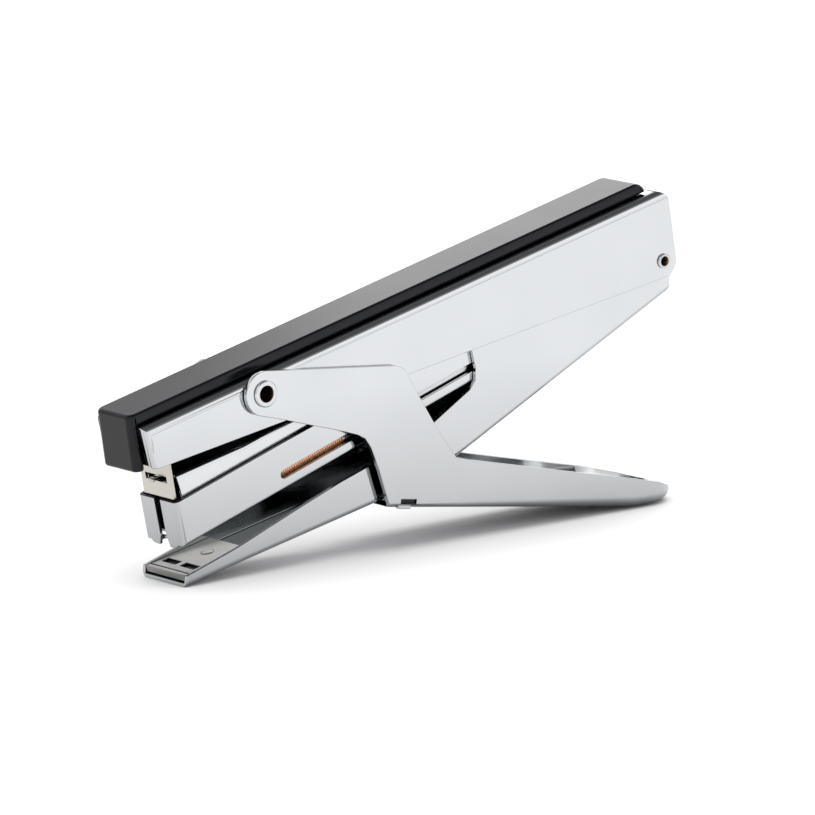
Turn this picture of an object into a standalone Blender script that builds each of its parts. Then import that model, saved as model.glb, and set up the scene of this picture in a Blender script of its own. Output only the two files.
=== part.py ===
"""Plier stapler for 24/6 staples. Run in Blender 4.5.

Sizes are millimetres in the upper handle's own side view: u runs rearward along the top of the
grip cap, v runs up. place() turns that view into the standing frame, in metres: X rearward,
Y across, Z up, the jaw arm's nose and the lower handle's tail on the ground at Z = 0.
"""

import math

import bmesh
import bpy
from mathutils import Matrix, Vector

# Standing frame
REST_PITCH = math.radians(13.64)  # the upper handle rises rearward when the tool stands
SHIFT_X = -88.15
SHIFT_Z = 46.57

# Staple and widths (half widths from the middle plane)
STAPLE_HALF = 6.45
DRIVER_THICK = 0.9
RAIL_HALF = 0.75
MAG_HALF = 8.3
MAG_THICK = 1.0
ARM_HALF = 9.6
ARM_THICK = 1.1
CHANNEL_HALF = 11.0
CHANNEL_THICK = 1.2
CHEEK_HALF = 12.7
CHEEK_THICK = 1.35
CAP_HALF = 7.7

# Pivots in the side view
FULCRUM = (37.4, -7.7)  # front rivet: lower handle on upper handle
REAR_PIVOT = (172.2, -21.9)  # rear rivets: jaw arm, magazine and upper handle
DRIVER_HOOK = (7.9, -21.3)
DRIVER_LEAN = math.radians(4.0)

# Magazine's own side view: s along its floor, h up from the floor's underside
MAG_PITCH = math.radians(4.26)
MAG_NOSE = (6.9, -38.49)
MAG_LENGTH = 170.9
MAG_WALL = 11.8
MAG_PIVOT = (166.08, 4.26)
SLOT_FROM = 33.0
SLOT_TO = 146.0
SLOT_LOW = 2.75
SLOT_HIGH = 4.95
PUSH_Y = 4.35  # the two pusher springs, beside the rail
PUSH_H = 3.6
TUBE_FROM = 55.3
TUBE_TO = 147.6
TUBE_R = 2.55
SPRING_R = 2.2
SPRING_WIRE_R = 0.3
ROD_R = 0.8
PLUG_FROM = 148.2
COVER_PINS = (66, 140)
NOSE_LEAN = 0.123  # the magazine's front face leans this much, rearward per upward
NOSE_FRONT = -1.25

# Jaw arm's bottom line bends here
ARM_NOSE = (2.8, -48.6)
ARM_BEND = (83.4, -50.85)
ARM_TAIL = (172.5, -31.3)

# Lower handle's bottom line
WEB_FRONT = (66.9, -51.2)
WEB_SLOPE = -0.401
WEB_START = 69.8
TAIL_CENTRE = 150.4
CORNERS = ((24, 1.2), (67, 1.2), (90, 1.6), (115, 2.5), (146, 3.4))  # (u, bottom corner radius)


def material(name, colour, roughness, metallic):
    made = bpy.data.materials.new(name)
    made.use_nodes = True
    shader = made.node_tree.nodes["Principled BSDF"]
    shader.inputs["Base Color"].default_value = (*colour, 1.0)
    shader.inputs["Roughness"].default_value = roughness
    shader.inputs["Metallic"].default_value = metallic
    return made


def view(origin, pitch):
    """A side view of its own: its origin in the upper handle's, and its pitch, nose down to up."""
    return Matrix.Translation((origin[0], 0, origin[1])) @ Matrix.Rotation(-pitch, 4, "Y")


STANDING = Matrix.Scale(0.001, 4) @ view((SHIFT_X, SHIFT_Z), REST_PITCH)
SIDE = Matrix.Identity(4)
MAG = view(MAG_NOSE, MAG_PITCH)
DRIVER = view(DRIVER_HOOK, -DRIVER_LEAN)
ANVIL = view(ARM_NOSE, math.atan2(ARM_BEND[1] - ARM_NOSE[1], ARM_BEND[0] - ARM_NOSE[0]))
BAR = view((71.9, -50.95), math.atan(WEB_SLOPE))


def loft(rings, wrap=False):
    """Skins rings of (s, y, h) points: a closed body with flat ends, or a ring of rings."""
    mesh = bpy.data.meshes.new("loft")
    shape = bmesh.new()
    loops = [[shape.verts.new(point) for point in ring] for ring in rings]
    pairs = list(zip(loops, loops[1:] + loops[:1])) if wrap else list(zip(loops, loops[1:]))
    for first, second in pairs:
        for i in range(len(first)):
            j = (i + 1) % len(first)
            shape.faces.new((first[i], first[j], second[j], second[i]))
    if not wrap:
        shape.faces.new(loops[0])
        shape.faces.new(loops[-1])
    bmesh.ops.recalc_face_normals(shape, faces=shape.faces)
    bmesh.ops.triangulate(shape, faces=[f for f in shape.faces if len(f.verts) > 4])
    shape.to_mesh(mesh)
    shape.free()
    made = bpy.data.objects.new("loft", mesh)
    bpy.context.scene.collection.objects.link(made)
    return made


def prism(outline, half, low=None):
    """An outline of a side view, made solid between y = low (or -half) and half."""
    start = -half if low is None else low
    return loft([[(s, y, h) for s, h in outline] for y in (start, half)])


def slab(outline, low, high, lean=0.0):
    """An outline seen from above, (s, y), made solid from one height to another; s grows by lean
    per mm of height."""
    return loft([[(s + lean * h, y, h) for s, y in outline] for h in (low, high)])


def nose(front, half, radius, rear, steps):
    """A plan outline with two round front corners."""
    corner = arc((front + radius, half - radius), radius, 180, 90, steps)
    return corner + [(rear, half), (rear, -half)] + [(s, -y) for s, y in reversed(corner)]


def block(low, high):
    """A box from its low (s, y, h) corner to its high one."""
    (s0, y0, h0), (s1, y1, h1) = low, high
    return prism([(s0, h0), (s1, h0), (s1, h1), (s0, h1)], y1, y0)


def trough(stations, steps=4):
    """Sections along s: each is (s, half width, open side h, floor h, corner radius)."""
    rings = []
    for s, half, rim, floor, radius in stations:
        up = 1 if rim > floor else -1
        ring = [(-half, rim)]
        for k in range(steps + 1):
            a = math.pi / 2 * k / steps
            ring.append((-half + radius * (1 - math.cos(a)), floor + up * radius * (1 - math.sin(a))))
        ring += [(-y, h) for y, h in reversed(ring)]
        rings.append([(s, y, h) for y, h in ring])
    return loft(rings)


def circle(centre, radius, sides):
    points = []
    for k in range(sides):
        a = 2 * math.pi * k / sides
        points.append((centre[0] + radius * math.cos(a), centre[1] + radius * math.sin(a)))
    return points


def disc(centre, radius, low, high, sides=28):
    """A round bar across, from y = low to y = high."""
    return prism(circle(centre, radius, sides), high, low)


def spool(centre, profile, sides=28):
    """A turned ring round a cross axis: profile is (y, radius) points in a closed loop."""
    rings = []
    for k in range(sides):
        a = 2 * math.pi * k / sides
        c, d = math.cos(a), math.sin(a)
        rings.append([(centre[0] + r * c, y, centre[1] + r * d) for y, r in profile])
    return loft(rings, wrap=True)


def rod(s0, s1, y, h, radius, sides=16):
    """A round bar along s."""
    ends = circle((y, h), radius, sides)
    return loft([[(s, *point) for point in ends] for s in (s0, s1)])


def stud(s, profile, sides=24):
    """A turned pin that stands up along h at (s, 0): profile is (h, radius) points."""
    return loft([[(a, y, h) for a, y in circle((s, 0), r, sides)] for h, r in profile])


def coil(s0, s1, y, h, radius, wire, turns, around=9, sides=5):
    """A round-wire helix along s."""
    rings = []
    count = int(turns * around)
    for k in range(count + 1):
        t = 2 * math.pi * k / around
        s = s0 + (s1 - s0) * k / count
        ring = []
        for j in range(sides):
            b = 2 * math.pi * j / sides
            r = radius - wire + wire * math.cos(b)
            ring.append((s + wire * math.sin(b), y + r * math.cos(t), h + r * math.sin(t)))
        rings.append(ring)
    return loft(rings)


def ribbon(path, half, thick):
    """A strip that hangs below a path drawn rearward in the side view."""
    upper, lower = [], []
    for i, (u, v) in enumerate(path):
        before = path[max(i - 1, 0)]
        after = path[min(i + 1, len(path) - 1)]
        du, dv = after[0] - before[0], after[1] - before[1]
        size = math.hypot(du, dv)
        upper.append((u, v))
        lower.append((u + dv / size * thick, v - du / size * thick))
    return prism(upper + lower[::-1], half)


def combine(target, tool, operation):
    """Applies one exact Boolean and removes the tool."""
    modifier = target.modifiers.new("combine", "BOOLEAN")
    modifier.operation = operation
    modifier.solver = "EXACT"
    modifier.object = tool
    graph = bpy.context.evaluated_depsgraph_get()
    fresh = bpy.data.meshes.new_from_object(target.evaluated_get(graph))
    target.modifiers.remove(modifier)
    target.data = fresh
    bpy.data.objects.remove(tool)
    return target


def cut(target, *tools):
    for tool in tools:
        combine(target, tool, "DIFFERENCE")
    return target


def join(target, *tools):
    for tool in tools:
        combine(target, tool, "UNION")
    return target


def keep(target, tool):
    return combine(target, tool, "INTERSECT")


def soften(made, width, segments):
    """Rounds the outward corners sharper than 50 degrees."""
    shape = bmesh.new()
    shape.from_mesh(made.data)
    sharp = [e for e in shape.edges if e.is_convex and e.calc_face_angle(0) > math.radians(50)]
    bmesh.ops.bevel(
        shape, geom=sharp, offset=width, segments=segments, profile=0.5, affect="EDGES"
    )
    shape.to_mesh(made.data)
    shape.free()
    return made


def arc(centre, radius, start, end, steps):
    points = []
    for k in range(steps + 1):
        a = math.radians(start + (end - start) * k / steps)
        points.append((centre[0] + radius * math.cos(a), centre[1] + radius * math.sin(a)))
    return points


def stadium(s0, s1, h0, h1, steps=6):
    """A slot outline with round ends."""
    r = (h1 - h0) / 2
    return arc((s0 + r, h0 + r), r, 270, 90, steps) + arc((s1 - r, h0 + r), r, 90, -90, steps)


def name(made, title, look, pivot=(0.0, 0.0), seen=SIDE):
    """Stands a piece in its place, names it, and puts its origin on pivot (in the view seen)."""
    origin = STANDING @ seen @ Vector((pivot[0], 0, pivot[1]))
    made.name = title
    made.data.name = title
    made.data.transform(Matrix.Translation(-origin) @ STANDING @ seen)
    made.location = origin
    made.data.materials.clear()
    made.data.materials.append(look)
    made.data.shade_smooth()
    made.data.set_sharp_from_angle(angle=math.radians(32))
    return made


def arm_floor(u, lift=0.0):
    """Height of the jaw arm's underside, plus lift."""
    if u < ARM_BEND[0]:
        a, b = ARM_NOSE, ARM_BEND
    else:
        a, b = ARM_BEND, ARM_TAIL
    return a[1] + (b[1] - a[1]) * (u - a[0]) / (b[0] - a[0]) + lift


def web(u):
    """Height of the lower handle's underside before the tail turns up."""
    return WEB_FRONT[1] + WEB_SLOPE * (u - WEB_FRONT[0])


def ground(u):
    """Height of the ground the tool stands on."""
    return -(SHIFT_Z + u * math.sin(REST_PITCH)) / math.cos(REST_PITCH)


def build_upper_handle(chrome, black, steel):
    shell = trough(
        [(0.3, CHANNEL_HALF, -32, -3.4, 2.6), (180, CHANNEL_HALF, -32, -3.4, 2.6)]
    )
    inner = CHANNEL_HALF - CHANNEL_THICK
    hollow = trough([(-2, inner, -34, -4.6, 1.5), (182, inner, -34, -4.6, 1.5)])
    outline = [(-1, 2), (174.6, 2), (174.7, -3.4)]
    outline += arc((174.9, -6.8), 3.3, 84, 0, 5)
    outline += arc(REAR_PIVOT, 4.6, 0, -86, 7)
    outline += [(2.4, -14.85), (0.9, -14.6), (0.3, -13.9), (-1, -13.9)]
    shell = keep(shell, prism(outline, 14))
    cut(shell, hollow)
    for sign in (-1, 1):
        near, far = sorted((sign * 5.6, sign * (inner + 0.5)))
        join(shell, block((0.3, near, -13.9), (1.4, far, -4.2)))
    keep(shell, slab(nose(0.29, CHANNEL_HALF + 0.02, 2.0, 181, 4), -40, 5))
    hook = [(9.9, -4.2), (9.9, -20.85), (5.6, -20.85), (5.6, -21.75), (10.9, -21.75), (10.9, -4.2)]
    join(shell, prism(hook, 1.05))
    cut(shell, disc(FULCRUM, 2.5, -15, 15), disc(REAR_PIVOT, 1.7, -15, 15, sides=20))
    name(shell, "upper_handle", chrome)

    outline = [(-2.75, -15.2), (-1.25, 0)] + arc((170.4, -3.2), 3.2, 90, 0, 5) + [(0.15, -3.2)]
    outline += [(0.15, -15.2)]
    cap = soften(prism(outline, CAP_HALF), 1.0, 3)
    plan = slab(nose(-1.3, CAP_HALF + 0.05, 2.4, 180, 4), -17, 2, 0.0987)
    name(keep(cap, plan), "grip_cap", black)

    ends = [(-13.35, 3.2), (-13.1, 3.5), (-12.85, 3.5), (-12.85, 2.3)]
    profile = ends + [(-y, r) for y, r in reversed(ends)]
    profile += [(13.35, 2.25), (12.6, 1.8), (-12.6, 1.8), (-13.35, 2.25)]
    name(spool(FULCRUM, profile), "front_rivet", steel, FULCRUM)

    sleeve = [(-5.3, 2.85), (5.3, 2.85), (5.3, 2.45), (-5.3, 2.45)]
    name(spool(FULCRUM, sleeve), "fulcrum_sleeve", steel, FULCRUM)

    for sign, word in ((-1, "left"), (1, "right")):
        profile = [(11.15, 1.5), (11.15, 2.0), (11.4, 2.0), (11.6, 1.8), (11.6, 1.35), (11.1, 1.0)]
        profile += [(6.98, 1.0), (6.98, 2.1), (7.25, 2.1), (7.25, 1.5)]
        ring = spool(REAR_PIVOT, [(sign * y, r) for y, r in profile], sides=24)
        name(ring, "rear_rivet_" + word, steel, REAR_PIVOT)

    path = [(57, -16.6), (61, -17.2), (68, -15.8), (86, -10.6), (104, -6.5), (118, -4.9)]
    leaf = ribbon(path + [(150, -4.9)], 4.0, 0.6)
    name(leaf, "lift_spring", steel, (118, -4.9))


def build_lower_handle(chrome, steel):
    def stations(inset):
        """The handle as a filled boat, inset on every side but the top."""
        rows = []
        for u, radius in CORNERS:
            floor = web(u) + inset * 1.077
            rows.append((u, CHEEK_HALF - inset, 8, floor, max(0.3, radius - inset)))
        reach = CHEEK_HALF - inset
        for k in range(1, 9):
            a = math.radians(84 * k / 8)
            u = TAIL_CENTRE + reach * math.sin(a)
            rise = 2.9 * (1 - math.cos(a)) ** 1.2
            floor = ground(u) + 0.3 + rise + inset * 1.077
            half = reach * math.cos(a) ** 0.7
            rows.append((u, half, 8, floor, min(CORNERS[-1][1] - inset, half * 0.85)))
        return rows

    solid = trough(stations(0.0))
    outline = arc(FULCRUM, 5.9, 70.8, 234, 14)
    outline += [(41.7, -16.7), (50.4, -21.8), (54.7, -24.2), (59.4, -27.0), (62.6, -29.0)]
    outline += [(64.7, -30.9), (65.9, -33.9), (66.4, -37.2), (66.9, -41.0), (67.3, -46.6)]
    outline += [(67.6, -50.4), (67.4, -56.0), (110, -90), (170, -96), (170, -87.4)]
    outline += [(162.6, -83.5), (159.7, -82.0), (155.5, -79.4), (148.8, -75.7), (123.5, -63.1)]
    outline += [(96.6, -49.5), (91.7, -46.7), (88.7, -39.7), (87.0, -34.9), (84.1, -26.1)]
    outline += [(81.6, -18.0), (80.6, -16.9), (79.0, -15.95)]
    solid = keep(solid, prism(outline, 14))
    cut(solid, trough(stations(CHEEK_THICK)))
    cut(solid, disc(FULCRUM, 2.5, -15, 15))
    cut(solid, prism([(60, -70), (WEB_START - 0.6, -70), (WEB_START, -40), (60, -40)], 11.3))
    slot = block((-0.2, -15, -1.15), (5.0, 15, 0.05))
    slot.data.transform(BAR)
    cut(solid, slot)
    for sign in (-1, 1):
        near, far = sorted((sign * 11.6, sign * 12.8))
        lug = block((-0.9, near, -2.45), (3.1, far, -1.5))
        lug.data.transform(BAR)
        join(solid, lug)
    name(solid, "lower_handle", chrome, FULCRUM)
    bar = block((0, -12.0, -0.95), (4.8, 12.0, -0.15))
    name(bar, "pressure_bar", steel, (2.4, -0.5), BAR)


def build_jaw_arm(chrome, nickel, steel):
    def stations(inset):
        rows = []
        for u in (0, ARM_BEND[0], 185):
            rows.append((u, ARM_HALF - inset, 4, arm_floor(u, inset), 1.8 - inset * 1.35))
        return rows

    solid = trough(stations(0.0))
    outline = [ARM_NOSE, (2.8, -52), (83.4, -60), (172.5, -60), (172.5, -31.3), (173.6, -30.2)]
    outline += [(174.3, -27.6), (176.6, -24.4)] + arc(REAR_PIVOT, 4.4, 0, 110, 6)
    outline += [(106.5, -17.5), (105.9, -22.8), (105.9, -27.6), (104.9, -30.6), (102.6, -32.4)]
    outline += [(98.5, -33.6), (89.2, -36.4), (67.2, -39.7), (56.1, -40.4), (42.4, -41.9)]
    outline += [(20.5, -44.6), (3.8, -45.7)]
    solid = keep(solid, prism(outline, 14))
    cut(solid, trough([(s - (5 if s < 1 else -5), *rest) for s, *rest in stations(ARM_THICK)]))
    cut(solid, disc(REAR_PIVOT, 1.7, -15, 15, sides=20))
    hole = stud(14.7, ((-1, 1.6), (2, 1.6)), 20)
    hole.data.transform(ANVIL)
    cut(solid, hole)
    name(solid, "jaw_arm", chrome, REAR_PIVOT)

    plate = block((0.9, -8.3, 1.3), (21.9, 8.3, 2.9))
    for sign in (-1, 1):
        near, far = sorted((sign * 0.9, sign * 6.9))
        cut(plate, block((4.9, near, 2.2), (7.3, far, 4)))
    cut(plate, block((2.2, -9, 2.55), (2.7, 9, 4)))
    cut(plate, stud(14.7, ((0.5, 1.75), (4.0, 1.75)), 28))
    name(plate, "anvil_plate", nickel, (0.9, 1.3), ANVIL)
    profile = ((0.15, 1.35), (2.35, 1.35), (2.7, 1.6), (2.9, 1.6), (3.05, 1.3))
    name(stud(14.7, profile), "anvil_rivet", steel, (14.7, 0), ANVIL)

    path = [(104, -32.1), (108, -31.6), (116, -33.4), (126, -36.6), (138, -36.8), (152, -33.8)]
    name(ribbon(path, 4.0, 0.6), "jaw_spring", steel, (152, -33.8))


def build_magazine(chrome, bright, steel):
    housing = trough([(-3, MAG_HALF, 14, 0, 0.9), (MAG_LENGTH, MAG_HALF, 14, 0, 0.9)])
    inner = MAG_HALF - MAG_THICK
    outline = [(-4, -1), (-4, MAG_WALL), (158, MAG_WALL)] + arc(MAG_PIVOT, 4.4, 70, -75, 6)
    housing = keep(housing, prism(outline + [(163, -1)], 14))
    hollow = trough([(-5, inner, 16, MAG_THICK, 0.2), (175, inner, 16, MAG_THICK, 0.2)])
    cut(housing, keep(hollow, slab(nose(NOSE_FRONT + 0.8, 9, 0.2, 180, 2), 0, 17, NOSE_LEAN)))
    prong = [(1.4, 0.6), (2.2, -0.91), (4.2, -0.91), (5.2, -0.6), (6.0, 0.1), (6.3, 0.6)]
    for sign in (-1, 1):
        shape = [(sign * y, h) for y, h in prong]
        rear = NOSE_FRONT + 0.78
        join(housing, loft([[(s, y, h) for y, h in shape] for s in (NOSE_FRONT - 0.6, rear)]))
    keep(housing, slab(nose(NOSE_FRONT, MAG_HALF + 0.02, 1.5, 180, 4), -2, 15, NOSE_LEAN))
    cut(housing, block((-4, -1.25, -2), (2, 1.25, 16)))
    flare = [(-2.25, -1.1), (-1.2, 2.2), (1.2, 2.2), (2.25, -1.1)]
    cut(housing, loft([[(s, y, h) for y, h in flare] for s in (-4, 0.3)]))
    cut(housing, block((0.85, -6.75, -1), (2.9, 6.75, 2)))
    cut(housing, prism(stadium(SLOT_FROM, SLOT_TO, SLOT_LOW, SLOT_HIGH), 14))
    cut(housing, disc(MAG_PIVOT, 1.7, -14, 14, 20))
    for s in COVER_PINS:
        cut(housing, disc((s, 9.6), 0.95, -14, 14, 14))
    name(housing, "magazine_housing", chrome, MAG_PIVOT, MAG)

    lid = ((3.6, 18.0), (26, 16.0), (156, 16.0))
    cover = trough([(s, 6.9, 8.2, h, 1.2) for s, h in lid])
    lid = ((3.5, 17.25), (26, 15.25), (157, 15.25))
    cut(cover, trough([(s, 6.1, 7, h, 0.5) for s, h in lid]))
    cut(cover, block((0, -5.6, 13), (60, 5.6, 20)))
    for s in COVER_PINS:
        cut(cover, disc((s, 9.6), 0.95, -14, 14, 14))
    name(cover, "magazine_cover", bright, MAG_PIVOT, MAG)
    for s, word in zip(COVER_PINS, ("front", "rear")):
        name(disc((s, 9.6), 0.75, -8.25, 8.25, 14), "cover_pin_" + word, steel, (s, 9.6), MAG)

    rail = prism([(5.2, 1.3), (56, 1.3), (56, 5.9), (55.2, 6.7), (6.0, 6.7), (5.2, 5.9)], RAIL_HALF)
    name(rail, "staple_rail", steel, (5.2, 1.3), MAG)


def build_driver(nickel):
    half = DRIVER_THICK / 2
    blade = block((-half, -STAPLE_HALF, -5.0), (half, STAPLE_HALF, 14.6))
    cut(blade, block((-2, -4.6, -0.8), (2, 4.6, 0.9)))
    name(blade, "driver_blade", nickel, (0, 0), DRIVER)


def build_pusher(copper, steel, bright):
    pusher = block((6.6, -6.3, 1.35), (14.0, 6.3, 7.6))
    cut(pusher, block((0, -1.1, 0), (20, 1.1, 6.95)))
    for sign in (-1, 1):
        cut(pusher, rod(0, 20, sign * PUSH_Y, PUSH_H, 1.1))
    name(pusher, "staple_follower", steel, (6.6, PUSH_H), MAG)

    plug = block((PLUG_FROM, -6.3, 1.35), (PLUG_FROM + 6.0, 6.3, 8.0))
    join(plug, block((PLUG_FROM + 3.0, -4.2, 6.4), (170.4, 4.2, 7.5)))
    join(plug, block((169.4, -4.2, 6.9), (170.5, 4.2, 10.6)))
    for sign in (-1, 1):
        cut(plug, rod(140, 162, sign * PUSH_Y, PUSH_H, ROD_R + 0.15))
    name(plug, "loader_plug", steel, (PLUG_FROM, PUSH_H), MAG)
    for sign, word in ((-1, "left"), (1, "right")):
        y = sign * PUSH_Y
        bar = rod(8.0, 154.0, y, PUSH_H, ROD_R, sides=12)
        name(bar, "guide_rod_" + word, steel, (8, PUSH_H), MAG)
        tube = rod(TUBE_FROM, TUBE_TO, y, PUSH_H, TUBE_R, sides=20)
        cut(tube, rod(TUBE_FROM - 5, TUBE_TO + 5, y, PUSH_H, TUBE_R - 0.25, sides=20))
        name(tube, "guide_tube_" + word, bright, (TUBE_FROM, PUSH_H), MAG)
        spring = coil(14.8, 147.0, y, PUSH_H, SPRING_R, SPRING_WIRE_R, 44)
        name(spring, "pusher_spring_" + word, copper, (14.8, PUSH_H), MAG)


def main():
    for old in list(bpy.data.objects):
        bpy.data.objects.remove(old)
    chrome = material("chrome", (0.86, 0.87, 0.88), 0.08, 1.0)
    bright = material("bright_steel", (0.72, 0.74, 0.76), 0.2, 1.0)
    steel = material("steel", (0.6, 0.61, 0.62), 0.3, 1.0)
    nickel = material("nickel", (0.72, 0.67, 0.58), 0.28, 1.0)
    black = material("black_plastic", (0.02, 0.021, 0.024), 0.32, 0.0)
    copper = material("copper", (0.72, 0.34, 0.19), 0.3, 1.0)
    build_upper_handle(chrome, black, steel)
    build_lower_handle(chrome, steel)
    build_jaw_arm(chrome, nickel, steel)
    build_magazine(chrome, bright, steel)
    build_driver(nickel)
    build_pusher(copper, steel, bright)


main()
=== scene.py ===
"""Looks for the plier stapler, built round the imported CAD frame. Run in Blender 4.5.

Pieces are drawn in millimetres in the upper handle's own side view (u rearward along the top of
the grip cap, v up), with a view of its own for the magazine, the anvil, the driver and the
pressure bar. settle() stands them in the frame, in metres.
"""

import math

import bmesh
import bpy
from mathutils import Matrix, Vector


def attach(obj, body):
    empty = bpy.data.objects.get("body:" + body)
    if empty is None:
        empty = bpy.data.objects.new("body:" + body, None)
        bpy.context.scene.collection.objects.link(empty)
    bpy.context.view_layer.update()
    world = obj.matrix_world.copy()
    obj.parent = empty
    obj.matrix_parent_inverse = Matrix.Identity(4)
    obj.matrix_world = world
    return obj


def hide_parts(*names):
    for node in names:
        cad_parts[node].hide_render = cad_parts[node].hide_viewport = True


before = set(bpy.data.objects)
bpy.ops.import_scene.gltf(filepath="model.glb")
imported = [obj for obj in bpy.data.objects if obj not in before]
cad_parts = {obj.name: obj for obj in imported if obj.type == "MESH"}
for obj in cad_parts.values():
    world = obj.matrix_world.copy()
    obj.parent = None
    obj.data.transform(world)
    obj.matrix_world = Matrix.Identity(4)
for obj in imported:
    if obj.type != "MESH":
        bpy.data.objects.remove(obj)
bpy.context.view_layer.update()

# Half widths, thicknesses and pivots, in millimetres
STAPLE_HALF = 6.45
DRIVER_THICK = 0.9
RAIL_HALF = 0.75
MAG_HALF, MAG_THICK = 8.3, 1.0
ARM_HALF, ARM_THICK = 9.6, 1.1
CHANNEL_HALF, CHANNEL_THICK = 11.0, 1.2
CHEEK_HALF, CHEEK_THICK = 12.7, 1.35
CAP_HALF = 7.7
FULCRUM = (37.4, -7.7)
REAR_PIVOT = (172.2, -21.9)
MAG_LENGTH = 170.9
MAG_WALL = 11.8
MAG_PIVOT = (166.08, 4.26)
SLOT = (33.0, 146.0, 2.75, 4.95)
PUSH_Y, PUSH_H = 4.35, 3.6
TUBE_FROM, TUBE_TO, TUBE_R = 55.3, 147.6, 2.55
SPRING_R, SPRING_WIRE_R = 2.2, 0.34
ROD_R = 0.8
PLUG_FROM = 148.2
COVER_PINS = (66, 140)
NOSE_LEAN, NOSE_FRONT = 0.123, -1.25
ARM_NOSE, ARM_BEND, ARM_TAIL = (2.8, -48.6), (83.4, -50.85), (172.5, -31.3)
WEB_FRONT, WEB_SLOPE, WEB_START = (66.9, -51.2), -0.401, 69.8
TAIL_CENTRE = 150.4
CORNERS = ((24, 1.2), (67, 1.2), (90, 1.6), (115, 2.5), (146, 3.4))

# Holes, pins and rivets
FULCRUM_HOLE, PIVOT_HOLE = 2.5, 1.7
PIN_H, PIN_HOLE, PIN_R = 9.6, 0.95, 0.75
ANVIL_RIVET_S = 14.7
LEAF_HALF, LEAF_THICK = 4.0, 0.6

# The lower handle's floor over its tail, and a wall's height over its thickness on that slope
TAIL_LIFT, TAIL_RISE, TAIL_END = 0.3, 2.9, 84
WEB_STEEP = 1.077

# Cutting tools reach this far past the sides
PRISM_HALF, HOLE_HALF, MAG_HOLE_HALF = 14, 15, 14

BEVEL_FROM, SHARP_FROM = math.radians(48), math.radians(36)
FLAT_WITHIN, MERGE_WITHIN = math.radians(0.15), 0.002

CORNER_STEPS = 10  # faces round a bent corner
TAIL_STEPS = 24  # sections round the lower handle's tail


def view(origin, pitch):
    return Matrix.Translation((origin[0], 0, origin[1])) @ Matrix.Rotation(-pitch, 4, "Y")


REST_PITCH, SHIFT_X, SHIFT_Z = math.radians(13.64), -88.15, 46.57
STANDING = Matrix.Scale(0.001, 4) @ view((SHIFT_X, SHIFT_Z), REST_PITCH)
SIDE = Matrix.Identity(4)
MAG = view((6.9, -38.49), math.radians(4.26))
DRIVER = view((7.9, -21.3), -math.radians(4.0))
ANVIL = view(ARM_NOSE, math.atan2(ARM_BEND[1] - ARM_NOSE[1], ARM_BEND[0] - ARM_NOSE[0]))
BAR = view((71.9, -50.95), math.atan(WEB_SLOPE))


# Shapes


def loft(rings, wrap=False):
    mesh = bpy.data.meshes.new("loft")
    shape = bmesh.new()
    loops = [[shape.verts.new(point) for point in ring] for ring in rings]
    pairs = list(zip(loops, loops[1:] + loops[:1])) if wrap else list(zip(loops, loops[1:]))
    for first, second in pairs:
        for i in range(len(first)):
            j = (i + 1) % len(first)
            shape.faces.new((first[i], first[j], second[j], second[i]))
    if not wrap:
        shape.faces.new(loops[0])
        shape.faces.new(loops[-1])
    bmesh.ops.recalc_face_normals(shape, faces=shape.faces)
    shape.to_mesh(mesh)
    shape.free()
    made = bpy.data.objects.new("loft", mesh)
    bpy.context.scene.collection.objects.link(made)
    return made


def prism(outline, half, low=None):
    start = -half if low is None else low
    return loft([[(s, y, h) for s, h in outline] for y in (start, half)])


def slab(outline, low, high, lean=0.0):
    """An outline seen from above, (s, y); s grows by lean per mm of height."""
    return loft([[(s + lean * h, y, h) for s, y in outline] for h in (low, high)])


def arc(centre, radius, start, end, steps):
    points = []
    for k in range(steps + 1):
        a = math.radians(start + (end - start) * k / steps)
        points.append((centre[0] + radius * math.cos(a), centre[1] + radius * math.sin(a)))
    return points


def nose(front, half, radius, rear, steps=CORNER_STEPS):
    corner = arc((front + radius, half - radius), radius, 180, 90, steps)
    return corner + [(rear, half), (rear, -half)] + [(s, -y) for s, y in reversed(corner)]


def block(low, high):
    (s0, y0, h0), (s1, y1, h1) = low, high
    return prism([(s0, h0), (s1, h0), (s1, h1), (s0, h1)], y1, y0)


def trough(stations):
    """Sections along s: each is (s, half width, open side h, floor h, corner radius)."""
    rings = []
    for s, half, rim, floor, radius in stations:
        up = 1 if rim > floor else -1
        ring = [(-half, rim)]
        for k in range(CORNER_STEPS + 1):
            a = math.pi / 2 * k / CORNER_STEPS
            y = -half + radius * (1 - math.cos(a))
            ring.append((y, floor + up * radius * (1 - math.sin(a))))
        ring += [(-y, h) for y, h in reversed(ring)]
        rings.append([(s, y, h) for y, h in ring])
    return loft(rings)


def circle(centre, radius, sides):
    points = []
    for k in range(sides):
        a = 2 * math.pi * k / sides
        points.append((centre[0] + radius * math.cos(a), centre[1] + radius * math.sin(a)))
    return points


def disc(centre, radius, low, high, sides=64):
    return prism(circle(centre, radius, sides), high, low)


def spool(centre, profile, sides=64):
    rings = []
    for k in range(sides):
        a = 2 * math.pi * k / sides
        c, d = math.cos(a), math.sin(a)
        rings.append([(centre[0] + r * c, y, centre[1] + r * d) for y, r in profile])
    return loft(rings, wrap=True)


def rod(s0, s1, y, h, radius, sides=40):
    ends = circle((y, h), radius, sides)
    return loft([[(s, *point) for point in ends] for s in (s0, s1)])


def stud(s, profile, sides=48):
    return loft([[(a, y, h) for a, y in circle((s, 0), r, sides)] for h, r in profile])


def coil(s0, s1, y, h, radius, wire, turns, around=16, sides=7):
    rings = []
    count = int(turns * around)
    for k in range(count + 1):
        t = 2 * math.pi * k / around
        s = s0 + (s1 - s0) * k / count
        ring = []
        for j in range(sides):
            b = 2 * math.pi * j / sides
            r = radius - wire + wire * math.cos(b)
            ring.append((s + wire * math.sin(b), y + r * math.cos(t), h + r * math.sin(t)))
        rings.append(ring)
    return loft(rings)


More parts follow.
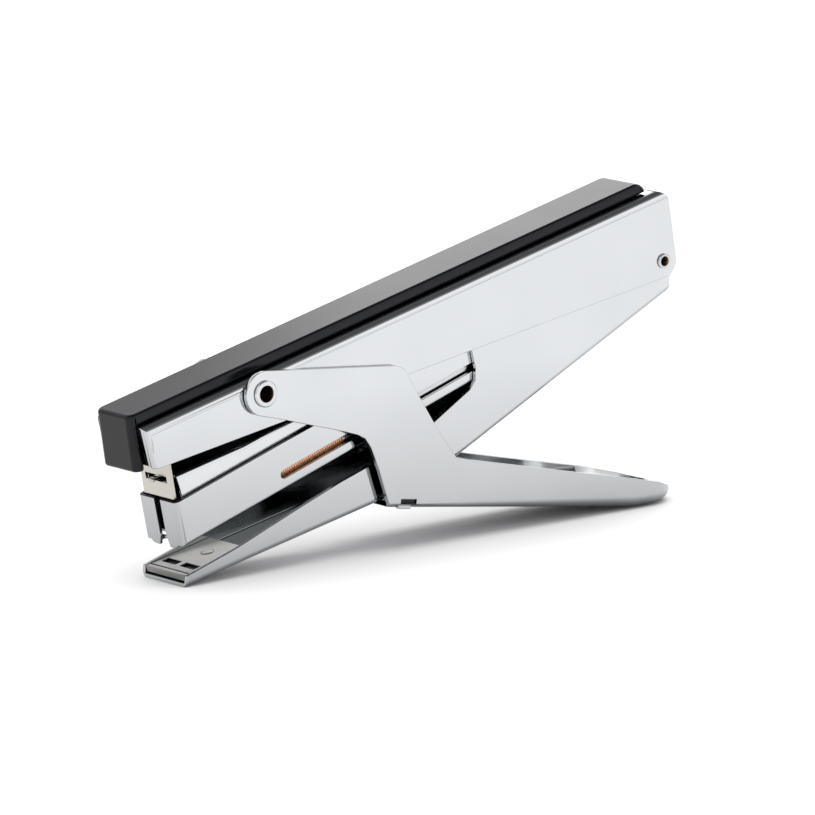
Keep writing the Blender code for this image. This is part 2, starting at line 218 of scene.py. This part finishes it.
def ribbon(path, half, thick):
    upper, lower = [], []
    for i, (u, v) in enumerate(path):
        before = path[max(i - 1, 0)]
        after = path[min(i + 1, len(path) - 1)]
        du, dv = after[0] - before[0], after[1] - before[1]
        size = math.hypot(du, dv)
        upper.append((u, v))
        lower.append((u + dv / size * thick, v - du / size * thick))
    return prism(upper + lower[::-1], half)


def combine(target, tool, operation):
    modifier = target.modifiers.new("combine", "BOOLEAN")
    modifier.operation = operation
    modifier.solver = "EXACT"
    modifier.object = tool
    graph = bpy.context.evaluated_depsgraph_get()
    fresh = bpy.data.meshes.new_from_object(target.evaluated_get(graph))
    target.modifiers.remove(modifier)
    target.data = fresh
    bpy.data.objects.remove(tool)
    return target


def cut(target, *tools):
    for tool in tools:
        combine(target, tool, "DIFFERENCE")
    return target


def join(target, *tools):
    for tool in tools:
        combine(target, tool, "UNION")
    return target


def keep(target, tool):
    return combine(target, tool, "INTERSECT")


def stadium(s0, s1, h0, h1):
    r = (h1 - h0) / 2
    rear = arc((s1 - r, h0 + r), r, 90, -90, 14)
    return arc((s0 + r, h0 + r), r, 270, 90, 14) + rear


def round_edges(made, width, segments):
    """Bevels the edges sharper than BEVEL_FROM."""
    shape = bmesh.new()
    shape.from_mesh(made.data)
    bmesh.ops.remove_doubles(shape, verts=shape.verts, dist=MERGE_WITHIN)
    bmesh.ops.dissolve_limit(
        shape, angle_limit=FLAT_WITHIN, verts=shape.verts, edges=shape.edges
    )
    chosen = []
    for edge in shape.edges:
        if len(edge.link_faces) == 2 and edge.calc_face_angle(0) >= BEVEL_FROM:
            chosen.append(edge)
    bmesh.ops.bevel(
        shape,
        geom=chosen,
        offset=width,
        segments=segments,
        profile=0.5,
        affect="EDGES",
        clamp_overlap=False,
    )
    shape.to_mesh(made.data)
    shape.free()
    return made


def paint(made, look, second):
    """Gives a piece its look. second is (test, look) for the faces that pass a test of their
    centre and normal."""
    made.data.materials.clear()
    made.data.materials.append(look)
    if second:
        test, other = second
        made.data.materials.append(other)
        for face in made.data.polygons:
            face.material_index = 1 if test(face.center, face.normal) else 0


def bore(centre, radius):
    """A test for the faces of a rivet's bore."""
    return lambda c, n: math.hypot(c[0] - centre[0], c[2] - centre[1]) < radius


def inside(half, below=99.0, above=-99.0):
    """A test for a channel's faces, within half its width, that look inward, up or down."""

    def test(c, n):
        if abs(c[1]) > half or not above < c[2] < below:
            return False
        return n[1] * c[1] < -0.3 * abs(c[1]) or abs(n[2]) > 0.5

    return test


def settle(made, title, body, look, seen=SIDE, edge=0.0, segments=3, second=None):
    """Rounds a piece's edges, stands it in the frame in place of its CAD node, and names it."""
    if edge:
        round_edges(made, edge, segments)
    paint(made, look, second)
    made.data.transform(STANDING @ seen)
    made.name = title + "_look"
    made.data.name = made.name
    made.data.shade_smooth()
    made.data.set_sharp_from_angle(angle=SHARP_FROM)
    weigh = made.modifiers.new("normals", "WEIGHTED_NORMAL")
    weigh.keep_sharp = True
    weigh.weight = 80
    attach(made, body)
    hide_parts(title)


# Finishes, some of them painted light or shade


def add(tree, kind, **values):
    made = tree.nodes.new("ShaderNode" + kind)
    for key, value in values.items():
        made.inputs[key.replace("_", " ")].default_value = value
    return made


def paint_low_shade(tree, place, colour, low, under):
    """Darkens a colour towards the ground (low) and on faces that look down (under): painted shade,
    standing in for the shadowed floor that these faces reflect.
    """
    factors = []
    heights, slopes = (0.004, 0.045), (-0.7, -0.02)
    for output, (start, end), least in (("Object", heights, low), ("Normal", slopes, under)):
        parts = add(tree, "SeparateXYZ")
        tree.links.new(place.outputs[output], parts.inputs["Vector"])
        span = add(tree, "MapRange")
        span.inputs["From Min"].default_value = start
        span.inputs["From Max"].default_value = end
        span.inputs["To Min"].default_value = least
        tree.links.new(parts.outputs["Z"], span.inputs["Value"])
        factors.append(span.outputs["Result"])
    both = add(tree, "Math")
    both.operation = "MULTIPLY"
    scaled = add(tree, "VectorMath")
    scaled.operation = "SCALE"
    tree.links.new(factors[0], both.inputs[0])
    tree.links.new(factors[1], both.inputs[1])
    tree.links.new(colour, scaled.inputs[0])
    tree.links.new(both.outputs["Value"], scaled.inputs["Scale"])
    return scaled.outputs["Vector"]


def finish(
    name, slot, colours, rough, grain, metallic=1.0, stretch=(1, 1, 1), bump=0.0, wave=0.0,
    painted_low_shade=None, specular=0.5,
):
    """colours are the darker and lighter tone, rough the least and most, grain the fine noise
    per metre, bump its depth in metres, wave the depth of the broad unevenness."""
    look = bpy.data.materials.new(name)
    look.use_nodes = True
    look["slot"] = slot
    tree = look.node_tree
    shader = tree.nodes["Principled BSDF"]
    shader.inputs["Metallic"].default_value = metallic
    place = add(tree, "TexCoord")
    spread = add(tree, "Mapping", Scale=stretch)
    tree.links.new(place.outputs["Object"], spread.inputs["Vector"])
    broad = add(tree, "TexNoise", Scale=38.0, Detail=3.0, Roughness=0.5)
    fine = add(tree, "TexNoise", Scale=grain, Detail=5.0, Roughness=0.6)
    tree.links.new(place.outputs["Object"], broad.inputs["Vector"])
    tree.links.new(spread.outputs["Vector"], fine.inputs["Vector"])
    ramp = add(tree, "ValToRGB")
    ramp.color_ramp.elements[0].position = 0.3
    ramp.color_ramp.elements[1].position = 0.7
    ramp.color_ramp.elements[0].color = (*colours[0], 1)
    ramp.color_ramp.elements[1].color = (*colours[1], 1)
    tree.links.new(broad.outputs["Fac"], ramp.inputs["Fac"])
    colour = ramp.outputs["Color"]
    # When asked, darken the colour near the floor and on faces that look down: painted shade
    if painted_low_shade:
        colour = paint_low_shade(tree, place, colour, *painted_low_shade)
    tree.links.new(colour, shader.inputs["Base Color"])
    shader.inputs["Specular IOR Level"].default_value = specular
    both = add(tree, "Math")
    both.operation = "MULTIPLY"
    tree.links.new(broad.outputs["Fac"], both.inputs[0])
    tree.links.new(fine.outputs["Fac"], both.inputs[1])
    span = add(tree, "MapRange")
    span.inputs["From Min"].default_value = 0.12
    span.inputs["From Max"].default_value = 0.42
    span.inputs["To Min"].default_value = rough[0]
    span.inputs["To Max"].default_value = rough[1]
    tree.links.new(both.outputs["Value"], span.inputs["Value"])
    tree.links.new(span.outputs["Result"], shader.inputs["Roughness"])
    normal = None
    for height, depth in ((broad, wave), (fine, bump)):
        if not depth:
            continue
        raised = add(tree, "Bump", Strength=1.0, Distance=depth)
        tree.links.new(height.outputs["Fac"], raised.inputs["Height"])
        if normal:
            tree.links.new(normal.outputs["Normal"], raised.inputs["Normal"])
        normal = raised
    if normal:
        tree.links.new(normal.outputs["Normal"], shader.inputs["Normal"])
    return look


# Polished chrome with painted shade: it darkens to 0.7 of its tone near the floor and to 0.36 on
# faces that look down
CHROME = finish(
    "polished_chrome", "chrome", ((0.585, 0.60, 0.61), (0.615, 0.63, 0.64)), (0.05, 0.12),
    900, stretch=(0.15, 1, 1), bump=0.0000015, wave=0.00003, painted_low_shade=(0.7, 0.36),
)
BRIGHT = finish(
    "bright_steel", "bright_steel", ((0.58, 0.59, 0.60), (0.66, 0.67, 0.68)), (0.14, 0.26),
    2500, stretch=(0.03, 1, 1), bump=0.000003, wave=0.00001,
)
STEEL = finish(
    "plain_steel", "steel", ((0.52, 0.53, 0.54), (0.62, 0.62, 0.63)), (0.22, 0.36),
    2200, stretch=(0.05, 1, 1), bump=0.000005,
)
NICKEL = finish(
    "nickel_plate", "nickel", ((0.46, 0.435, 0.39), (0.53, 0.50, 0.455)), (0.16, 0.3),
    1800, stretch=(1, 0.08, 1), bump=0.000003,
)
# Near-black steel: the pressure bar's own dark tone, and painted shade inside the upper handle, the
# magazine housing and cover, and the anvil's pockets
DARK_STEEL_AND_SHADE = finish(
    "dark_steel_and_painted_shade", "steel", ((0.02, 0.02, 0.024), (0.045, 0.045, 0.05)), (0.3, 0.45),
    1800, stretch=(1, 0.1, 1), bump=0.000004,
)
BRONZE = finish(
    "bronzed_bore", "steel", ((0.16, 0.105, 0.06), (0.36, 0.26, 0.17)), (0.22, 0.4),
    1500, bump=0.000004,
)
# Nickel plate darkened well below the driver's nickel: painted shade, on the anvil plate and its
# rivet
SHADED_NICKEL = finish(
    "nickel_painted_shade", "nickel", ((0.20, 0.20, 0.19), (0.27, 0.265, 0.255)), (0.2, 0.27),
    1800, stretch=(1, 0.08, 1), bump=0.0000004,
)
# A pale copy of the chrome: painted light for the lower handle's inside
LIT_CHROME = finish(
    "chrome_painted_light", "chrome", ((0.86, 0.87, 0.88), (0.92, 0.93, 0.93)), (0.16, 0.26),
    900, stretch=(0.15, 1, 1), bump=0.0000015, wave=0.00002,
)
# A dark teal copy of the chrome: painted shade for the jaw arm's inner floor
SHADED_CHROME = finish(
    "chrome_painted_shade", "chrome", ((0.05, 0.062, 0.062), (0.10, 0.118, 0.115)), (0.12, 0.24),
    900, stretch=(0.1, 1, 1), bump=0.000002, wave=0.00003,
)
BLACK = finish(
    "satin_black", "black_plastic", ((0.003, 0.0035, 0.0045), (0.006, 0.0065, 0.008)), (0.16, 0.24),
    5200, metallic=0.0, bump=0.000006, specular=0.24,
)
COPPER = finish(
    "copper_wire", "copper", ((0.90, 0.42, 0.22), (1.0, 0.58, 0.36)), (0.22, 0.36),
    1500, metallic=0.6, bump=0.000003,
)


# Pieces


def arm_floor(u, lift=0.0):
    """The jaw arm's underside, raised by lift."""
    if u < ARM_BEND[0]:
        a, b = ARM_NOSE, ARM_BEND
    else:
        a, b = ARM_BEND, ARM_TAIL
    return a[1] + (b[1] - a[1]) * (u - a[0]) / (b[0] - a[0]) + lift


def web(u):
    """The lower handle's underside, ahead of its tail."""
    return WEB_FRONT[1] + WEB_SLOPE * (u - WEB_FRONT[0])


def ground(u):
    """Height of the floor under u, in the side view."""
    return -(SHIFT_Z + u * math.sin(REST_PITCH)) / math.cos(REST_PITCH)


def side_holes(*holes):
    return [disc(centre, radius, -HOLE_HALF, HOLE_HALF) for centre, radius in holes]


def pin_hole(s):
    return disc((s, PIN_H), PIN_HOLE, -MAG_HOLE_HALF, MAG_HOLE_HALF, 32)


def build_upper_handle():
    shell = trough([(0.3, CHANNEL_HALF, -32, -3.4, 2.6), (180, CHANNEL_HALF, -32, -3.4, 2.6)])
    inner = CHANNEL_HALF - CHANNEL_THICK
    hollow = trough([(-2, inner, -34, -4.6, 1.5), (182, inner, -34, -4.6, 1.5)])
    outline = [(-1, 2), (174.6, 2), (174.7, -3.4)]
    outline += arc((174.9, -6.8), 3.3, 84, 0, 14)
    outline += arc(REAR_PIVOT, 4.6, 0, -86, 20)
    outline += [(2.4, -14.85), (0.9, -14.6), (0.3, -13.9), (-1, -13.9)]
    shell = keep(shell, prism(outline, PRISM_HALF))
    cut(shell, hollow)
    for sign in (-1, 1):
        near, far = sorted((sign * 5.6, sign * (inner + 0.5)))
        join(shell, block((0.3, near, -13.9), (1.4, far, -4.2)))
    keep(shell, slab(nose(0.29, CHANNEL_HALF + 0.02, 2.0, 181), -40, 5))
    hook = [(9.9, -4.2), (9.9, -20.85), (5.6, -20.85), (5.6, -21.75), (10.9, -21.75), (10.9, -4.2)]
    join(shell, prism(hook, 1.05))
    cut(shell, *side_holes((FULCRUM, FULCRUM_HOLE), (REAR_PIVOT, PIVOT_HOLE)))
    # The channel's faces inside, below the web, are painted near-black: painted shade
    under = inside(inner + 0.05, below=-4.5)

    def painted_inside(c, n):
        return under(c, n) and not (c[0] < 11.2 and abs(c[1]) < 1.5 and c[2] < -6)

    settle(shell, "upper_handle", "upper", CHROME, edge=0.18, second=(painted_inside, DARK_STEEL_AND_SHADE))

    outline = [(-2.75, -15.2), (-1.25, 0)] + arc((170.4, -3.2), 3.2, 90, 0, 12) + [(0.15, -3.2)]
    outline += [(0.15, -15.2)]
    plan = nose(-1.27, CAP_HALF + 0.02, 2.4, 180)
    cap = keep(prism(outline, CAP_HALF), slab(plan, -16, 1, 0.0987))
    settle(cap, "grip_cap", "upper", BLACK, edge=1.0, segments=6)

    ends = [(-13.35, 3.2), (-13.1, 3.5), (-12.85, 3.5), (-12.85, 2.3)]
    profile = ends + [(-y, r) for y, r in reversed(ends)]
    profile += [(13.35, 2.25), (12.6, 1.8), (-12.6, 1.8), (-13.35, 2.25)]
    inner_faces = (bore(FULCRUM, 2.28), BRONZE)
    settle(spool(FULCRUM, profile), "front_rivet", "upper", CHROME, second=inner_faces)
    sleeve = [(-5.3, 2.85), (5.3, 2.85), (5.3, 2.45), (-5.3, 2.45)]
    settle(spool(FULCRUM, sleeve), "fulcrum_sleeve", "upper", STEEL)
    for sign, word in ((-1, "left"), (1, "right")):
        profile = [(11.15, 1.5), (11.15, 2.0), (11.4, 2.0), (11.6, 1.8), (11.6, 1.35), (11.1, 1.0)]
        profile += [(6.98, 1.0), (6.98, 2.1), (7.25, 2.1), (7.25, 1.5)]
        ring = spool(REAR_PIVOT, [(sign * y, r) for y, r in profile])
        settle(ring, "rear_rivet_" + word, "upper", STEEL, second=(bore(REAR_PIVOT, 1.3), BRONZE))

    path = [(57, -16.6), (61, -17.2), (68, -15.8), (86, -10.6), (104, -6.5), (118, -4.9)]
    leaf = ribbon(path + [(150, -4.9)], LEAF_HALF, LEAF_THICK)
    settle(leaf, "lift_spring", "upper", STEEL, edge=0.12, segments=2)


def build_lower_handle():
    def stations(inset):
        rows = []
        for u, radius in CORNERS:
            floor = web(u) + inset * WEB_STEEP
            rows.append((u, CHEEK_HALF - inset, 8, floor, max(0.3, radius - inset)))
        reach = CHEEK_HALF - inset
        for k in range(1, TAIL_STEPS + 1):
            a = math.radians(TAIL_END * k / TAIL_STEPS)
            u = TAIL_CENTRE + reach * math.sin(a)
            rise = TAIL_RISE * (1 - math.cos(a)) ** 1.2
            floor = ground(u) + TAIL_LIFT + rise + inset * WEB_STEEP
            half = reach * math.cos(a) ** 0.7
            rows.append((u, half, 8, floor, min(CORNERS[-1][1] - inset, half * 0.85)))
        return rows

    solid = trough(stations(0.0))
    outline = arc(FULCRUM, 5.9, 70.8, 234, 36)
    outline += [(41.7, -16.7), (50.4, -21.8), (54.7, -24.2), (59.4, -27.0), (62.6, -29.0)]
    outline += [(64.7, -30.9), (65.9, -33.9), (66.4, -37.2), (66.9, -41.0), (67.3, -46.6)]
    outline += [(67.6, -50.4), (67.4, -56.0), (110, -90), (170, -96), (170, -87.4)]
    outline += [(162.6, -83.5), (159.7, -82.0), (155.5, -79.4), (148.8, -75.7), (123.5, -63.1)]
    outline += [(96.6, -49.5), (91.7, -46.7), (88.7, -39.7), (87.0, -34.9), (84.1, -26.1)]
    outline += [(81.6, -18.0), (80.6, -16.9), (79.0, -15.95)]
    solid = keep(solid, prism(outline, PRISM_HALF))
    cut(solid, trough(stations(CHEEK_THICK)))
    cut(solid, *side_holes((FULCRUM, FULCRUM_HOLE)))
    cut(solid, prism([(60, -70), (WEB_START - 0.6, -70), (WEB_START, -40), (60, -40)], 11.3))
    slot = block((-0.2, -15, -1.15), (5.0, 15, 0.05))
    slot.data.transform(BAR)
    cut(solid, slot)
    for sign in (-1, 1):
        near, far = sorted((sign * 11.6, sign * 12.8))
        lug = block((-0.9, near, -2.45), (3.1, far, -1.5))
        lug.data.transform(BAR)
        join(solid, lug)

    # The lower handle's inner walls and floor behind u 60 take a paler chrome: painted light
    def painted_inside(c, n):
        inward = n[2] > 0.5 or n[1] * c[1] < -0.3 * abs(c[1])
        return abs(c[1]) < CHEEK_HALF - CHEEK_THICK + 0.05 and c[0] > 60 and inward

    settle(solid, "lower_handle", "lower", CHROME, edge=0.2, second=(painted_inside, LIT_CHROME))
    bar = block((0, -12.0, -0.95), (4.8, 12.0, -0.15))
    settle(bar, "pressure_bar", "lower", DARK_STEEL_AND_SHADE, BAR, edge=0.12, segments=2)


def build_jaw_arm():
    def stations(inset):
        rows = []
        for u in (0, ARM_BEND[0], 185):
            rows.append((u, ARM_HALF - inset, 4, arm_floor(u, inset), 1.8 - inset * 1.35))
        return rows

    # The jaw arm's inner floor takes a dark copy of the chrome: painted shade
    def arm_inside(c, n):
        return abs(c[1]) < ARM_HALF - ARM_THICK and n[2] > 0.6 and c[2] < arm_floor(c[0], 2.0)

    solid = trough(stations(0.0))
    outline = [ARM_NOSE, (2.8, -52), (83.4, -60), (172.5, -60), (172.5, -31.3), (173.6, -30.2)]
    outline += [(174.3, -27.6), (176.6, -24.4)] + arc(REAR_PIVOT, 4.4, 0, 110, 18)
    outline += [(106.5, -17.5), (105.9, -22.8), (105.9, -27.6), (104.9, -30.6), (102.6, -32.4)]
    outline += [(98.5, -33.6), (89.2, -36.4), (67.2, -39.7), (56.1, -40.4), (42.4, -41.9)]
    outline += [(20.5, -44.6), (3.8, -45.7)]
    solid = keep(solid, prism(outline, PRISM_HALF))
    cut(solid, trough([(s - (5 if s < 1 else -5), *rest) for s, *rest in stations(ARM_THICK)]))
    cut(solid, *side_holes((REAR_PIVOT, PIVOT_HOLE)))
    hole = stud(ANVIL_RIVET_S, ((-1, 1.6), (2, 1.6)))
    hole.data.transform(ANVIL)
    cut(solid, hole)
    settle(solid, "jaw_arm", "jaw", CHROME, edge=0.18, second=(arm_inside, SHADED_CHROME))

    plate = block((0.9, -8.3, 1.3), (21.9, 8.3, 2.9))
    for sign in (-1, 1):
        near, far = sorted((sign * 0.9, sign * 6.9))
        cut(plate, block((4.9, near, 2.2), (7.3, far, 4)))
    cut(plate, block((2.2, -9, 2.55), (2.7, 9, 4)))
    cut(plate, stud(ANVIL_RIVET_S, ((0.5, 1.75), (4.0, 1.75))))

    # The anvil's staple pockets are painted near-black: painted shade
    def pocket(c, n):
        return abs(c[0] - 6.1) < 1.35 and abs(c[1]) < 7 and 1.5 < c[2] < 2.75

    # The anvil plate takes nickel darkened as painted shade
    settle(
        plate, "anvil_plate", "jaw", SHADED_NICKEL, ANVIL, edge=0.1, segments=2,
        second=(pocket, DARK_STEEL_AND_SHADE),
    )
    # The anvil rivet takes the same darkened nickel: painted shade
    profile = ((0.15, 1.35), (2.35, 1.35), (2.7, 1.6), (2.9, 1.6), (3.05, 1.3))
    settle(stud(ANVIL_RIVET_S, profile), "anvil_rivet", "jaw", SHADED_NICKEL, ANVIL)

    path = [(104, -32.1), (108, -31.6), (116, -33.4), (126, -36.6), (138, -36.8), (152, -33.8)]
    leaf = ribbon(path, LEAF_HALF, LEAF_THICK)
    settle(leaf, "jaw_spring", "jaw", STEEL, edge=0.12, segments=2)


def build_magazine():
    housing = trough([(-3, MAG_HALF, 14, 0, 0.9), (MAG_LENGTH, MAG_HALF, 14, 0, 0.9)])
    inner = MAG_HALF - MAG_THICK
    outline = [(-4, -1), (-4, MAG_WALL), (158, MAG_WALL)] + arc(MAG_PIVOT, 4.4, 70, -75, 18)
    housing = keep(housing, prism(outline + [(163, -1)], PRISM_HALF))
    hollow = trough([(-5, inner, 16, MAG_THICK, 0.2), (175, inner, 16, MAG_THICK, 0.2)])
    cut(housing, keep(hollow, slab(nose(NOSE_FRONT + 0.8, 9, 0.2, 180, 3), 0, 17, NOSE_LEAN)))
    prong = [(1.4, 0.6), (2.2, -0.91), (4.2, -0.91), (5.2, -0.6), (6.0, 0.1), (6.3, 0.6)]
    for sign in (-1, 1):
        shape = [(sign * y, h) for y, h in prong]
        rear = NOSE_FRONT + 0.78
        join(housing, loft([[(s, y, h) for y, h in shape] for s in (NOSE_FRONT - 0.6, rear)]))
    keep(housing, slab(nose(NOSE_FRONT, MAG_HALF + 0.02, 1.5, 180), -2, 15, NOSE_LEAN))
    cut(housing, block((-4, -1.25, -2), (2, 1.25, 16)))
    flare = [(-2.25, -1.1), (-1.2, 2.2), (1.2, 2.2), (2.25, -1.1)]
    cut(housing, loft([[(s, y, h) for y, h in flare] for s in (-4, 0.3)]))
    cut(housing, block((0.85, -6.75, -1), (2.9, 6.75, 2)))
    cut(housing, prism(stadium(*SLOT), PRISM_HALF))
    cut(housing, disc(MAG_PIVOT, PIVOT_HOLE, -MAG_HOLE_HALF, MAG_HOLE_HALF))
    for s in COVER_PINS:
        cut(housing, pin_hole(s))
    # The housing's faces inside, above its floor, are painted near-black: painted shade
    painted_inside = inside(inner + 0.05, above=0.9)
    settle(housing, "magazine_housing", "magazine", CHROME, MAG, edge=0.15, second=(painted_inside, DARK_STEEL_AND_SHADE))

    lid = ((3.6, 18.0), (26, 16.0), (156, 16.0))
    cover = trough([(s, 6.9, 8.2, h, 1.2) for s, h in lid])
    lid = ((3.5, 17.25), (26, 15.25), (157, 15.25))
    cut(cover, trough([(s, 6.1, 7, h, 0.5) for s, h in lid]))
    cut(cover, block((0, -5.6, 13), (60, 5.6, 20)))
    for s in COVER_PINS:
        cut(cover, pin_hole(s))
    # Faces within 6.15 mm of the middle that look inward, up or down, the lid's top among them, are
    # painted near-black: painted shade
    painted_inside = inside(6.15, below=17.4)
    settle(
        cover, "magazine_cover", "magazine", BRIGHT, MAG, edge=0.12, segments=2,
        second=(painted_inside, DARK_STEEL_AND_SHADE),
    )
    for s, word in zip(COVER_PINS, ("front", "rear")):
        pin = disc((s, PIN_H), PIN_R, -8.25, 8.25, 32)
        settle(pin, "cover_pin_" + word, "magazine", STEEL, MAG, edge=0.15, segments=2)

    rail = prism([(5.2, 1.3), (56, 1.3), (56, 5.9), (55.2, 6.7), (6.0, 6.7), (5.2, 5.9)], RAIL_HALF)
    settle(rail, "staple_rail", "magazine", STEEL, MAG, edge=0.12, segments=2)


def build_driver():
    half = DRIVER_THICK / 2
    blade = block((-half, -STAPLE_HALF, -5.0), (half, STAPLE_HALF, 14.6))
    cut(blade, block((-2, -4.6, -0.8), (2, 4.6, 0.9)))
    settle(blade, "driver_blade", "driver", NICKEL, DRIVER, edge=0.08, segments=2)


def build_pusher():
    pusher = block((6.6, -6.3, 1.35), (14.0, 6.3, 7.6))
    cut(pusher, block((0, -1.1, 0), (20, 1.1, 6.95)))
    for sign in (-1, 1):
        cut(pusher, rod(0, 20, sign * PUSH_Y, PUSH_H, 1.1))
    settle(pusher, "staple_follower", "follower", STEEL, MAG, edge=0.15, segments=2)

    plug = block((PLUG_FROM, -6.3, 1.35), (PLUG_FROM + 6.0, 6.3, 8.0))
    join(plug, block((PLUG_FROM + 3.0, -4.2, 6.4), (170.4, 4.2, 7.5)))
    join(plug, block((169.4, -4.2, 6.9), (170.5, 4.2, 10.6)))
    for sign in (-1, 1):
        cut(plug, rod(140, 162, sign * PUSH_Y, PUSH_H, ROD_R + 0.15))
    settle(plug, "loader_plug", "loader", STEEL, MAG, edge=0.15, segments=2)
    for sign, word in ((-1, "left"), (1, "right")):
        y = sign * PUSH_Y
        bar = rod(8.0, 154.0, y, PUSH_H, ROD_R)
        settle(bar, "guide_rod_" + word, "loader", STEEL, MAG, edge=0.12, segments=2)
        tube = rod(TUBE_FROM, TUBE_TO, y, PUSH_H, TUBE_R)
        cut(tube, rod(TUBE_FROM - 5, TUBE_TO + 5, y, PUSH_H, TUBE_R - 0.25))
        settle(tube, "guide_tube_" + word, "loader", BRIGHT, MAG, edge=0.05, segments=2)
        spring = coil(14.8, 147.0, y, PUSH_H, SPRING_R, SPRING_WIRE_R, 186)
        settle(spring, "pusher_spring_" + word, "loader", COPPER, MAG)


# Stage


def make_camera():
    data = bpy.data.cameras.new("camera")
    data.sensor_width = 36.0
    data.lens = 324.2
    data.clip_start, data.clip_end = 0.05, 60.0
    camera = bpy.data.objects.new("camera", data)
    bpy.context.scene.collection.objects.link(camera)
    right = Vector((0.787925, -0.615591, -0.014939))
    up = Vector((0.131467, 0.144470, 0.980737))
    back = -Vector((0.601574, 0.774711, -0.194761))
    turn = Matrix((right, up, back)).transposed().to_4x4()
    camera.matrix_world = Matrix.Translation((-1.150870, -1.489611, 0.409463)) @ turn
    bpy.context.scene.camera = camera


def soft_box(name, centre, size, radiance, aim=(0, 0, 0.04), mirrored=True):
    """An area light. One that is not mirrored lights the floor and stays out of the chrome."""
    data = bpy.data.lights.new(name, "AREA")
    data.shape = "RECTANGLE"
    data.size, data.size_y = size
    data.energy = radiance * math.pi * size[0] * size[1]
    lamp = bpy.data.objects.new(name, data)
    bpy.context.scene.collection.objects.link(lamp)
    lamp.location = centre
    lamp.rotation_euler = (Vector(aim) - Vector(centre)).to_track_quat("-Z", "Y").to_euler()
    lamp.visible_camera = False
    lamp.visible_glossy = mirrored


def make_world():
    """A studio that is pale at the horizon and dark overhead."""
    world = bpy.data.worlds.new("world")
    world.use_nodes = True
    tree = world.node_tree
    place = add(tree, "TexCoord")
    parts = add(tree, "SeparateXYZ")
    ramp = add(tree, "ValToRGB")
    tree.links.new(place.outputs["Generated"], parts.inputs["Vector"])
    tree.links.new(parts.outputs["Z"], ramp.inputs["Fac"])
    tree.links.new(ramp.outputs["Color"], tree.nodes["Background"].inputs["Color"])
    tones = ((0.0, 0.85), (0.3, 0.85), (0.64, 1.0), (0.76, 0.3), (0.9, 0.1))
    stops = ramp.color_ramp.elements
    while len(stops) < len(tones):
        stops.new(0.5)
    for stop, (place_z, tone) in zip(stops, tones):
        stop.position = place_z
        stop.color = (tone, tone, tone * 1.02, 1)
    bpy.context.scene.world = world


def make_stage():
    mesh = bpy.data.meshes.new("floor")
    mesh.from_pydata([(-9, -9, 0), (9, -9, 0), (9, 9, 0), (-9, 9, 0)], [], [(0, 1, 2, 3)])
    floor = bpy.data.objects.new("floor", mesh)
    bpy.context.scene.collection.objects.link(floor)
    look = bpy.data.materials.new("floor")
    look.use_nodes = True
    shader = look.node_tree.nodes["Principled BSDF"]
    shader.inputs["Base Color"].default_value = (0.92, 0.92, 0.92, 1)
    shader.inputs["Roughness"].default_value = 1.0
    shader.inputs["Specular IOR Level"].default_value = 0.0
    mesh.materials.append(look)
    make_world()
    soft_box("overhead", (0, 0, 2.6), (3.6, 3.6), 2.1, mirrored=False)
    soft_box("back_box", (1.66, 1.75, 1.2), (1.25, 0.9), 1.8)
    soft_box("front_box", (1.0, -1.75, 0.95), (2.4, 1.5), 0.4)


make_camera()
make_stage()
bpy.context.scene.view_settings.view_transform = "Standard"
build_upper_handle()
build_lower_handle()
build_jaw_arm()
build_magazine()
build_driver()
build_pusher()
